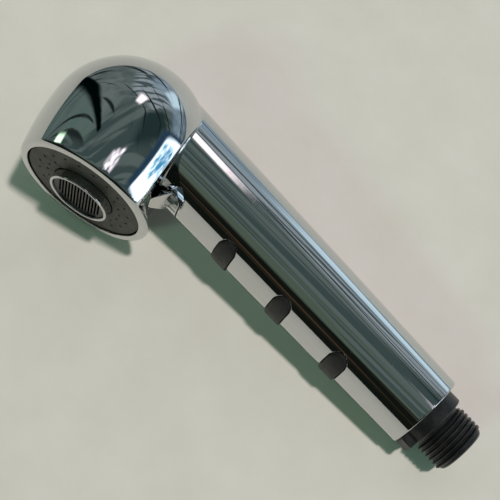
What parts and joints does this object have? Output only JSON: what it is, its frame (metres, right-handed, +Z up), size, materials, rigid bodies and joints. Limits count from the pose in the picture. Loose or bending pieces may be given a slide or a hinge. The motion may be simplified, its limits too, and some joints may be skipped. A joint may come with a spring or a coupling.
{
  "type": "handheld bath sprayer",
  "caption": "Chrome hand spray with domed head, ringed nozzle face round an aerated jet, finger trigger, three soft grips and a G1/2 male hose inlet.",
  "frame": {"origin": "centre of the bounding box's base, on the surface that the sprayer lies on", "axes": "+Z up, +X from the head towards the hose inlet, spray leaves along -Y"},
  "size_m": [0.1934, 0.069, 0.0602],
  "materials": {
    "chrome_plating": "polished",
    "grey_face": "matt dark warm grey",
    "black_plastic": "moulded satin black",
    "soft_rubber": "matt",
    "seal_rubber": "matt",
    "white_plastic": "moulded acetal",
    "steel": "drawn stainless"
  },
  "bodies": {
    "sprayer": {"body_shell": "chrome_plating", "face_plate": "grey_face", "aerator_housing": "chrome_plating", "aerator_grid": "black_plastic", "grip_pad_front": "soft_rubber", "grip_pad_middle": "soft_rubber", "grip_pad_rear": "soft_rubber", "inlet_connector": "black_plastic", "spray_chamber": "black_plastic", "chamber_seal": "seal_rubber", "aerator_insert": "black_plastic", "aerator_washer": "seal_rubber", "diverter_body": "black_plastic", "spool_spring": "steel", "spool_retainer": "white_plastic", "trigger_pin": "steel", "waterway_tube": "black_plastic", "tube_seal_head": "seal_rubber", "tube_seal_inlet": "seal_rubber", "snap_ring": "steel", "check_valve_body": "white_plastic", "check_valve_spring": "steel", "inlet_filter": "steel"},
    "trigger": {"trigger": "chrome_plating"},
    "spool": {"diverter_spool": "white_plastic", "spool_seal_upper": "seal_rubber", "spool_seal_lower": "seal_rubber"},
    "poppet": {"check_valve_poppet": "black_plastic", "check_valve_seal": "seal_rubber"}
  },
  "joints": [
    {"name": "trigger_hinge", "type": "hinge", "parent": "sprayer", "child": "trigger", "pos_m": [-0.03775, -0.00231, 0.02704], "axis": [-0.1055, 0, -0.9944], "range_deg": [0, 7], "stiffness_Nm_per_rad": 0.05, "springref_deg": -1.72},
    {"name": "spool_slide", "type": "slide", "parent": "sprayer", "child": "spool", "axis": [0, 1, 0], "range_m": [0, 0.00184], "deforming": ["spool_spring"]},
    {"name": "poppet_slide", "type": "slide", "parent": "sprayer", "child": "poppet", "axis": [-0.9649, 0.2419, 0.1024], "range_m": [0, 0.0018], "stiffness_N_per_m": 20, "springref_m": -0.0003, "deforming": ["check_valve_spring"]}
  ],
  "couplings": [
    {"joint": "spool_slide", "follows": "trigger_hinge", "m_per_rad": 0.015}
  ]
}
